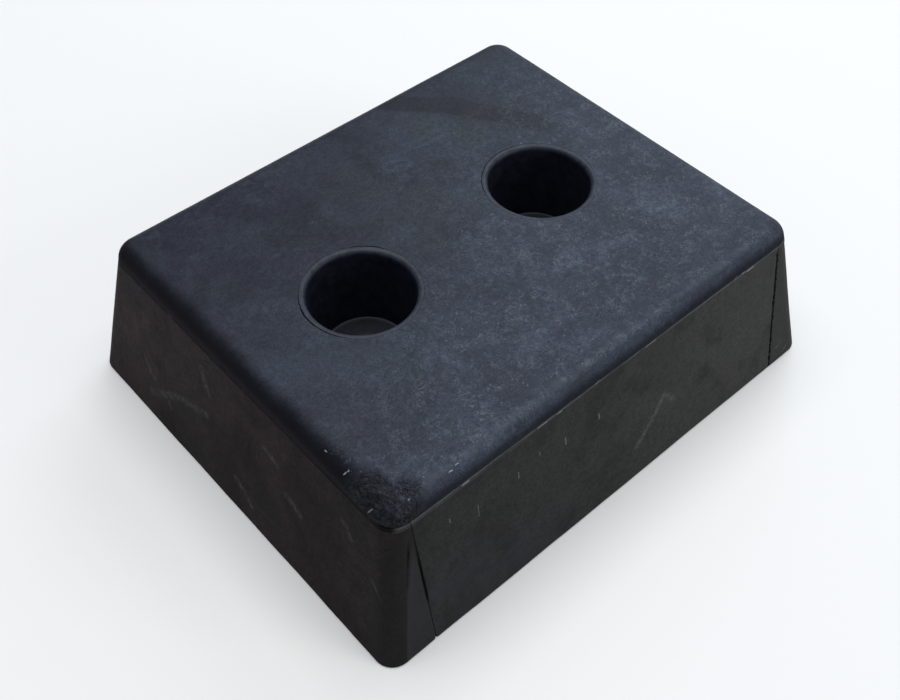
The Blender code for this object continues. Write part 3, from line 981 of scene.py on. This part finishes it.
def top_material():
    """Impact face: blue-black rubber under a mottled grey blooming and painted sheen, wiped in bands, with
    pale specks.
    """
    s = Shader("bloomed_top_rubber", 0.5, 0.18)
    # lighter towards the front right: partly heavier blooming, partly painted sheen
    toward_front = s.total(s.product(s.x, 1.6), s.product(s.y, -2.6))
    bloom_and_sheen_side = s.step(toward_front, -0.4, 0.4)
    clouds = s.patches(0.36, 0.66, 52 * MM, 4, 0.6, 0.8, seed=0.3)
    mottle = s.patches(0.34, 0.68, 11 * MM, 6, 0.66, 0.8, seed=1.2)
    pale = s.patches(0.44, 0.62, 26 * MM, 3, 0.5, 0.4, seed=4.4)
    flecked = s.patches(0.43, 0.62, 6 * MM, 7, 0.8, 1.4, seed=5.0)
    pale = s.product(pale, flecked)
    brushed = s.patches(0.36, 0.66, 5 * MM, 4, 0.65, 0.3, stretch=(8, 1, 1), turn=(0, 0, -14), seed=3.0)
    wobble = s.wobble(12 * MM, 4, 0.65, seed=3.7)
    wiped = s.step(s.total(s.marks(WIPED), s.product(wobble, 0.4)), 0.18, 0.5)
    smear = s.step(s.total(s.marks(SMEARS), s.product(wobble, 0.8)), 0.1, 0.95)
    smear = s.product(smear, s.step(brushed, 0.0, 1.0, 0.6, 1.0))
    # blooming, with painted sheen in its front right share
    bloom_and_sheen = s.total(
        s.product(clouds, 0.22),
        s.product(mottle, s.step(bloom_and_sheen_side, 0.1, 0.8, 0.1, 0.2)),
        s.product(bloom_and_sheen_side, 0.3),
        s.product(pale, s.step(bloom_and_sheen_side, 0.0, 1.0, 0.22, 0.56)),
        s.product(s.marks(BRUSHED), brushed, 0.3),
    )
    bloom_and_sheen = s.math("SUBTRACT", bloom_and_sheen, s.product(wiped, 0.26))
    bloom_and_sheen = s.math("SUBTRACT", bloom_and_sheen, s.product(smear, 0.17), clamp=True)
    s.color = s.mix(bloom_and_sheen, (0.0112, 0.0128, 0.0215), (0.054, 0.068, 0.095))
    violet = s.patches(0.4, 0.62, 36 * MM, 3, 0.5, 0.5, seed=7.0)
    s.paint((0.021, 0.021, 0.038), violet, 0.3)
    olive = s.patches(0.46, 0.66, 28 * MM, 3, 0.5, 0.5, seed=17.0)
    behind = s.step(s.y, -0.3 * CAP_HALF[1], 0.55 * CAP_HALF[1])
    olive = s.product(olive, behind, s.step(s.x, -0.45 * CAP_HALF[0], 0.15 * CAP_HALF[0]))
    s.paint((0.028, 0.033, 0.033), olive, 0.38)
    s.paint((0.015, 0.0172, 0.02), wiped, 0.3)
    s.shade(s.grain(1.5, 2.0))
    # the rolled edges: painted shade on the left, which is rubbed too, and low on the front, a thin painted
    # sheen above
    uneven = s.product(s.wobble(14 * MM, 4, 0.6, seed=19.0), 7 * MM)
    # left roll painted near black: painted shade, and rubbed
    left_roll_rub_and_shade = s.step(s.total(s.x, uneven), 1.5 * MM - ROLL_START[0], -9.0 * MM - ROLL_START[0])
    s.paint((0.0034, 0.0031, 0.0056), left_roll_rub_and_shade, 0.95)
    # lower down the left roll the painted shade is lighter
    left_low = s.product(left_roll_rub_and_shade, s.below(TOP_Z, 3.0, 6.5))
    s.paint((0.013, 0.0112, 0.0138), left_low, 0.8)
    back_roll = s.step(s.y, ROLL_START[1] + 4.0 * MM, ROLL_START[1] + 9.5 * MM)
    s.paint((0.008, 0.009, 0.012), back_roll, 0.55)
    below = s.below(TOP_Z, 1.0, 5.0)
    # painted sheen along the front roll
    sheen = s.product(s.marks(EDGE_SHEEN), s.patches(0.3, 0.6, 9 * MM, 4, 0.6, seed=18.0))
    s.paint((0.075, 0.088, 0.11), sheen, 0.35)
    front_low = s.step(s.y, -2.0 * MM - ROLL_START[1], -8.0 * MM - ROLL_START[1])
    front_low = s.product(front_low, s.below(TOP_Z, 2.0, 5.8))
    s.paint((0.004, 0.0044, 0.0062), front_low, 0.68)
    # the torn front left corner: darker torn rubber, with painted shade in the fold valleys and creases
    torn = corner_tear(s)
    folds = s.patches(0.36, 0.62, 3.4 * MM, 5, 0.7, 1.5, stretch=(1, 2.2, 1), turn=(0, 0, 40), seed=9.3)
    torn_tone_and_fold_shade = s.mix(folds, (0.006, 0.0064, 0.01), (0.03, 0.0325, 0.042))
    s.paint(torn_tone_and_fold_shade, torn, 0.85)
    # painted shade in the creases of the torn corner
    creases = s.strongest([s.line(5.5 * MM, 0.022, 9.5), s.line(2.6 * MM, 0.028, 9.1)])
    s.paint((0.001, 0.001, 0.0014), s.step(torn, 0.2, 0.7), creases, 0.9)
    flakes = s.product(torn, s.patches(0.56, 0.66, 1.8 * MM, 4, 0.7, 1.0, seed=9.8))
    s.paint((0.06, 0.064, 0.078), flakes, 0.34)
    # pale dust and chips
    whole = s.product(s.rest(torn), s.below(TOP_Z, 1.4, 0.5))
    dusty = s.product(s.step(toward_front, -0.14, 0.12), whole)
    dust = s.specks(3.0 * MM, 0.5 * MM, 0.42, 0.4)
    dust = s.product(dust, s.patches(0.42, 0.56, 16 * MM, 3, 0.6, seed=6.0))
    fine_dust = s.specks(1.5 * MM, 0.34 * MM, 0.4, 0.9)
    fine_dust = s.product(fine_dust, s.patches(0.42, 0.58, 20 * MM, 3, 0.6, seed=8.0))
    dust = s.product(s.strongest([dust, s.product(fine_dust, 0.8)]), dusty)
    s.paint((0.2, 0.23, 0.26), dust, 0.5)
    curls = s.strongest([s.line(7 * MM, 0.02, 6.6, 4.0), s.line(4 * MM, 0.022, 6.2, 3.0)])
    curls = s.product(curls, s.patches(0.46, 0.57, 10 * MM, 4, 0.7, seed=6.8), dusty)
    s.paint((0.14, 0.165, 0.195), curls, 0.44)
    chips = s.strongest([s.marks(rim_chips()), s.product(s.specks(21 * MM, 0.9 * MM, 0.45, 2.2), dusty)])
    ragged = s.wobble(0.9 * MM, 3, 0.7, seed=10.0)
    chip = s.step(s.total(chips, s.product(ragged, 2.6)), 0.4, 0.95)
    chip = s.product(chip, s.step(chips, 0.0, 0.3))
    s.paint((0.34, 0.35, 0.37), chip, 0.62)
    roughness = s.total(s.product(bloom_and_sheen, 0.18), s.total(s.product(mottle, 0.08), 0.42))
    roughness = s.total(roughness, s.product(s.strongest([left_roll_rub_and_shade, below]), 0.6), clamp=True)
    relief = s.product(torn, s.math("SUBTRACT", folds, s.product(creases, 0.8)))
    return s.finish(s.bump(relief, 0.9 * MM, 0.7, fine_normal(s, 0.6, 0.35)), roughness)


def paint_wall(s, dark, light, tint, seed):
    """First colour of a wall: soft clouds, faint upright streaks and fine grain."""
    clouds = s.patches(0.34, 0.66, 34 * MM, 4, 0.6, 0.8, seed=seed)
    mottle = s.patches(0.3, 0.7, 6 * MM, 5, 0.72, 0.5, seed=seed + 1.0)
    streaks = s.patches(0.3, 0.7, 5 * MM, 4, 0.6, stretch=(1, 1, 9), seed=seed + 2.0)
    parts = (s.product(clouds, 0.62), s.product(mottle, 0.18), s.product(streaks, 0.2))
    amount = s.total(*parts, clamp=True)
    s.color = s.mix(amount, dark, light)
    tinted = s.patches(0.42, 0.62, 55 * MM, 2, 0.5, seed=seed + 3.0)
    s.paint(tint, tinted, 0.55)


def corner_start(s):
    """Signed distance along the front from where its flat part turns into a corner, at each end."""
    slope = (BASE_HALF[0] - WALL_TOP_HALF[0]) / PARTING_Z
    reach = s.total(s.product(s.z, slope), CORNER_RADIUS - BASE_HALF[0])
    return s.total(s.math("ABSOLUTE", s.x), reach)


def soft_scuff(s, strokes, seed):
    """Soft rubbed mark: a wide haze round each stroke and a thin broken core."""
    haze = s.marks(strokes, 2.7)
    core = s.step(haze, 0.35, 1.0)
    broken = s.patches(0.4, 0.66, 2.6 * MM, 4, 0.75, 0.8, seed=seed)
    haze = s.product(haze, haze, s.patches(0.25, 0.7, 4 * MM, 4, 0.7, seed=seed + 1.0))
    return s.total(s.product(haze, 0.24), s.product(core, broken, 0.34), clamp=True)


def seam_shadow(s):
    """Dark ragged line along the upright seams, wide where they gape."""
    ragged = s.wobble(2.4 * MM, 4, 0.7, 0.5, seed=24.0)
    apart = s.math("ABSOLUTE", s.math("SUBTRACT", s.math("ABSOLUTE", s.x), SEAM_X))
    on_right = s.step(s.x, 0.0, MM)
    apart = s.total(apart, s.product(ragged, s.step(on_right, 0.0, 1.0, 1.4 * MM, 4.2 * MM)))
    up = s.math("DIVIDE", s.z, PARTING_Z)
    gape = s.product(s.step(up, 0.3, 0.4), s.step(up, 0.9, 0.6), s.rest(on_right))
    height = s.total(gape, s.product(on_right, s.step(up, 1.0, 0.9)))
    return s.product(s.step(apart, 1.15 * MM, 0.5 * MM), height)


def bead_mask(s):
    """Broken pale line along the flash at the top of the walls."""
    line = s.below(PARTING_Z, 2.0, 1.3)
    second = s.product(
        s.below(PARTING_Z, 3.0, 2.5),
        s.below(PARTING_Z, 1.8, 2.2),
        s.step(s.x, -0.4 * SEAM_X, -0.6 * SEAM_X),
    )
    broken = s.patches(0.34, 0.6, 6 * MM, 5, 0.7, stretch=(3, 1, 1), seed=3.3)
    return s.product(s.strongest([line, s.product(second, 0.7)]), s.total(s.product(broken, 0.75), 0.25))


def end_material():
    """End covers: brown-black rubber with pale curved scuffs."""
    s = Shader("scuffed_end_rubber", 0.68, 0.07)
    paint_wall(s, (0.0088, 0.0074, 0.0076), (0.0275, 0.02, 0.0208), (0.0165, 0.0155, 0.015), 11.0)
    up = s.math("DIVIDE", s.z, PARTING_Z)
    deep = s.math("DIVIDE", s.y, BASE_HALF[1])
    upper = s.product(s.step(up, 0.75, 0.97), s.step(deep, 0.3, 0.6))
    upper = s.product(upper, s.patches(0.35, 0.6, 9 * MM, 4, 0.7, seed=13.0))
    s.paint((0.0105, 0.0095, 0.0145), upper, 0.5)
    far = s.product(s.step(deep, -0.25, 0.7), s.step(up, 0.1, 0.7))
    s.shade(s.total(s.product(far, 0.45), 0.98))
    s.shade(s.grain(1.8, 11.5))
    shadow = s.marks(route(LONG_RUB, 8 * MM))
    s.paint((0.009, 0.0092, 0.0088), shadow, 0.45)
    s.paint((0.088, 0.088, 0.086), soft_scuff(s, LEFT_SCUFFS, 12.0))
    on_front = s.step(s.y, 3.0 * MM - WALL_TOP_HALF[1], 0.6 * MM - WALL_TOP_HALF[1])
    turned = corner_start(s)
    # painted shade on the corner rounding, where the front leg turns into the end face
    rounding_shade = s.product(on_front, s.step(turned, -0.5 * MM, 0.6 * MM))
    s.paint((0.012, 0.012, 0.013), rounding_shade, 0.5)
    flat_leg = s.product(on_front, s.step(turned, 0.4 * MM, -0.4 * MM))
    s.paint((0.013, 0.013, 0.0135), flat_leg, 0.6)
    # the right leg is paler, as is the flap between the tear and the front left seam
    mottle = s.step(s.noise(4 * MM, 5, 0.72, seed=16.0), 0.2, 0.6, 0.6, 1.0)
    pale_leg = s.product(on_front, s.step(s.x, 0.0, MM), mottle)
    s.paint((0.04, 0.04, 0.0395), pale_leg, 0.85)
    tear = s.total(s.marks(route(TEAR_EDGE, 0.9 * MM)), s.wobble(1.6 * MM, 3, 0.7, seed=14.2))
    flap = s.product(flat_leg, s.step(s.x, 0.0, -MM), s.step(up, 0.85, 0.63))
    flap = s.product(flap, s.step(s.noise(5 * MM, 5, 0.7, seed=14.0), 0.2, 0.55, 0.55, 1.0))
    s.paint((0.027, 0.027, 0.0295), flap, 0.85)
    # painted shade in the cut along the tear edge
    s.paint((0.001, 0.001, 0.001), s.step(tear, 0.35, 0.8))
    ticks = s.product(flap, s.line(6 * MM, 0.014, 14.4), s.patches(0.52, 0.6, 9 * MM, 3, 0.6, seed=14.8))
    s.paint((0.003, 0.003, 0.003), ticks, 0.7)
    fleck = s.product(s.patches(0.58, 0.66, 5 * MM, 4, 0.7, 1.0, seed=15.5), s.step(up, 0.25, 0.12), pale_leg)
    fleck = s.product(fleck, s.patches(0.44, 0.58, 1.2 * MM, 3, 0.7, seed=15.0))
    s.paint((0.2, 0.21, 0.2), fleck, 0.55)
    s.paint((0.09, 0.09, 0.096), bead_mask(s), on_front, 0.6)
    # painted shade in the parting line under the cap
    parting_shade = s.product(s.below(PARTING_Z, 2.8, 2.1), s.rest(on_front))
    parting_shade = s.product(parting_shade, s.patches(0.22, 0.44, 12 * MM, 4, 0.7, seed=17.5))
    s.paint((0.0012, 0.001, 0.0014), parting_shade, 0.92)
    s.paint((0.001, 0.001, 0.0012), seam_shadow(s), 0.95)
    return s.finish(fine_normal(s, 0.6, 0.5))


def side_material():
    """Side covers: neutral grey-black rubber with the flash bead, scuffs and white chips."""
    s = Shader("scuffed_side_rubber", 0.66, 0.08)
    paint_wall(s, (0.0155, 0.0155, 0.0162), (0.0305, 0.03, 0.0315), (0.026, 0.027, 0.0265), 21.0)
    up = s.math("DIVIDE", s.z, PARTING_Z)
    toward_right = s.step(s.x, -0.6 * SEAM_X, 0.9 * SEAM_X)
    s.paint((0.0465, 0.048, 0.0465), toward_right, 0.66)
    s.shade(s.grain(1.6, 21.5))
    bluish = s.product(s.patches(0.42, 0.6, 30 * MM, 4, 0.6, 0.8, seed=25.0), s.step(up, 0.67, 0.18))
    bluish = s.product(bluish, s.step(s.x, -0.15 * SEAM_X, -0.65 * SEAM_X))
    s.paint((0.024, 0.0265, 0.033), bluish, 0.65)
    olive = s.product(s.patches(0.42, 0.6, 26 * MM, 4, 0.6, 0.8, seed=26.0), toward_right)
    s.paint((0.044, 0.045, 0.0395), olive, 0.35)
    patch = s.patches(0.54, 0.66, 24 * MM, 3, 0.5, seed=28.0)
    patch = s.product(patch, s.patches(0.3, 0.6, 7 * MM, 4, 0.7, seed=27.0))
    s.paint((0.015, 0.0145, 0.0155), patch, 0.6)
    s.paint((0.125, 0.13, 0.122), soft_scuff(s, FRONT_SCUFFS, 22.0))
    chips = s.marks(FRONT_CHIPS, 1.5)
    ragged = s.wobble(1.0 * MM, 3, 0.7, seed=23.0)
    chip = s.step(s.total(chips, s.product(ragged, 1.2)), 0.25, 0.85)
    s.paint((0.24, 0.24, 0.25), chip, 0.42)
    s.paint((0.105, 0.105, 0.112), bead_mask(s), 0.75)
    fleck = s.step(s.total(s.marks(bead_flecks()), ragged), 0.3, 0.8)
    s.paint((0.32, 0.33, 0.34), fleck, 0.6)
    s.paint((0.001, 0.001, 0.0012), seam_shadow(s), 0.95)
    return s.finish(fine_normal(s, 0.55, 0.4))


def from_recess_axis(s, center_x):
    """Distance of a point from the axis of the nearer recess."""
    aside = s.math("SUBTRACT", s.math("ABSOLUTE", s.x), center_x)
    return s.math("SQRT", s.total(s.product(aside, aside), s.product(s.y, s.y)))


def liner_material():
    """Recess liners: smooth dark rubber, lighter like the face on the lip and darker below it."""
    s = Shader("smooth_liner_rubber", 0.45, 0.25)
    lip = s.below(TOP_Z, 2.4, 0.1)
    mottle = s.patches(0.3, 0.7, 7 * MM, 5, 0.7, seed=31.0)
    inside = s.mix(mottle, (0.005, 0.0056, 0.012), (0.012, 0.014, 0.024))
    outside = s.mix(mottle, (0.019, 0.023, 0.035), (0.034, 0.0415, 0.059))
    s.color = s.mix(lip, inside, outside)
    s.shade(s.grain(1.2, 31.5))
    return s.finish(fine_normal(s, 0.4, 0.3))


def washer_material():
    """Seat washers: dark coated steel, with a painted highlight on the rim."""
    s = Shader("coated_washer_steel", 0.55, 0.3)
    _, _, center_x, radius = round_place("seat_washer_right")
    mottle = s.patches(0.3, 0.7, 4 * MM, 5, 0.7, seed=41.0)
    s.color = s.mix(mottle, (0.004, 0.005, 0.009), (0.0085, 0.0105, 0.0175))
    # painted highlight on the rim
    rim = s.step(from_recess_axis(s, center_x), radius - 1.9 * MM, radius - 0.9 * MM)
    s.paint((0.04, 0.046, 0.058), rim, 0.8)
    s.shade(s.grain(1.0, 41.5))
    return s.finish(fine_normal(s, 0.6, 0.3))


def core_material():
    """Core rubber: dull black with crumb texture."""
    s = Shader("crumb_core_rubber", 0.85, 0.2)
    crumbs = s.noise(2.2 * MM, 5, 0.75, 0.5, seed=51.0)
    s.color = s.mix(crumbs, (0.008, 0.008, 0.008), (0.03, 0.029, 0.028))
    return s.finish(fine_normal(s, 0.9, 0.8))


def cord_material():
    """Tyre cord plies: tan cords side by side, rubbed with black."""
    s = Shader("tyre_cord_fabric", 0.9, 0.2)
    inputs = {"Vector": s.place, "Scale": 0.16 / MM, "Distortion": 0.4}
    cords = s.node("TexWave", inputs, bands_direction="Y").outputs["Fac"]
    rubbed = s.patches(0.4, 0.7, 6 * MM, 4, 0.6, seed=61.0)
    s.color = s.mix(cords, (0.1, 0.08, 0.055), (0.3, 0.25, 0.18))
    s.paint((0.02, 0.02, 0.02), rubbed)
    return s.finish(s.bump(cords, 0.3 * MM, 0.8))


# === Build ===


def build_block():
    """Every visible piece, and the materials of the CAD nodes that stay."""
    ends, sides = end_material(), side_material()
    liner, washer = liner_material(), washer_material()
    core, cord = core_material(), cord_material()
    cut_mouths(build_top_cover(top_material()))
    for side, sign in SIDES.items():
        build_cover(f"end_cover_{side}", sign, end_stations(sign), end_point, ends)
    for name, sign in (("side_cover_front", 1), ("side_cover_back", -1)):
        build_cover(name, sign, side_stations(), side_point, sides)
    for side in SIDES:
        build_liner(side, liner)
        build_washer(side, washer)
    build_base_sheet(core)
    slabs = ("core_slab_lower", "core_slab_middle", "core_slab_upper")
    for name in slabs + ("cord_ply_lower", "cord_ply_upper"):
        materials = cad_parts[name].data.materials
        materials.clear()
        materials.append(core if name in slabs else cord)


def camera_axes():
    """Right, up and back directions of the camera."""
    flat = math.cos(CAMERA_ELEVATION)
    ahead, aside = -math.cos(CAMERA_AZIMUTH) * flat, math.sin(CAMERA_AZIMUTH) * flat
    back = Vector((aside, ahead, math.sin(CAMERA_ELEVATION)))
    level = Vector((math.cos(CAMERA_AZIMUTH), math.sin(CAMERA_AZIMUTH), 0.0))
    above = back.cross(level)
    right = math.cos(CAMERA_ROLL) * level + math.sin(CAMERA_ROLL) * above
    up = math.cos(CAMERA_ROLL) * above - math.sin(CAMERA_ROLL) * level
    return right, up, back


def add_camera():
    """Camera at the object's three-quarter view from above."""
    right, up, back = camera_axes()
    data = bpy.data.cameras.new("camera")
    data.lens = CAMERA_LENS_MM
    data.sensor_width = CAMERA_SENSOR_MM
    data.clip_start = 0.01
    camera = new_object("camera", data)
    place = back * CAMERA_DISTANCE + right * CAMERA_ASIDE + up * CAMERA_ABOVE
    camera.matrix_world = Matrix.Translation(place) @ Matrix((right, up, back)).transposed().to_4x4()
    bpy.context.scene.camera = camera


def add_light(name, azimuth, elevation, distance, size, power, color):
    """Square soft light aimed at the block, placed by its direction."""
    data = bpy.data.lights.new(name, "AREA")
    data.shape = "SQUARE"
    data.size = size
    data.energy = power
    data.color = color
    light = new_object(name, data)
    around, up = math.radians(azimuth), math.radians(elevation)
    toward = Vector((math.cos(around) * math.cos(up), math.sin(around) * math.cos(up), math.sin(up)))
    light.location = toward * distance
    light.rotation_euler = toward.to_track_quat("Z", "Y").to_euler()


# Name, azimuth from +X and elevation in degrees, distance, size, power in watts and colour
LIGHTS = (
    ("sky_panel", 26, 38, 2.4, 1.5, 16, (0.8, 0.91, 1.0)),
    ("top_panel", 90, 87, 3.0, 3.0, 88, (1.0, 1.0, 1.0)),
    ("front_panel", -62, 24, 2.6, 1.3, 14, (0.98, 1.0, 0.96)),
)
FLOOR_REACH = 6.0
FLOOR_Z = -0.2 * MM


def add_stage():
    """Pale floor, soft lights and a quiet sky."""
    bpy.context.scene.view_settings.view_transform = "Standard"
    mesh = bpy.data.meshes.new("floor")
    corners = ((-1, -1), (1, -1), (1, 1), (-1, 1))
    mesh.from_pydata([(x * FLOOR_REACH, y * FLOOR_REACH, 0) for x, y in corners], [], [(0, 1, 2, 3)])
    floor = new_object("floor", mesh)
    floor.location.z = FLOOR_Z
    material = bpy.data.materials.new("pale_floor")
    material.use_nodes = True
    shader = material.node_tree.nodes["Principled BSDF"]
    shader.inputs["Base Color"].default_value = (0.82, 0.82, 0.82, 1.0)
    shader.inputs["Roughness"].default_value = 0.9
    shader.inputs["Specular IOR Level"].default_value = 0.1
    floor.data.materials.append(material)
    world = bpy.data.worlds.new("sky")
    world.use_nodes = True
    background = world.node_tree.nodes["Background"]
    background.inputs["Color"].default_value = (0.9, 0.95, 1.0, 1.0)
    background.inputs["Strength"].default_value = 0.22
    bpy.context.scene.world = world
    for light in LIGHTS:
        add_light(*light)


build_block()
add_camera()
add_stage()
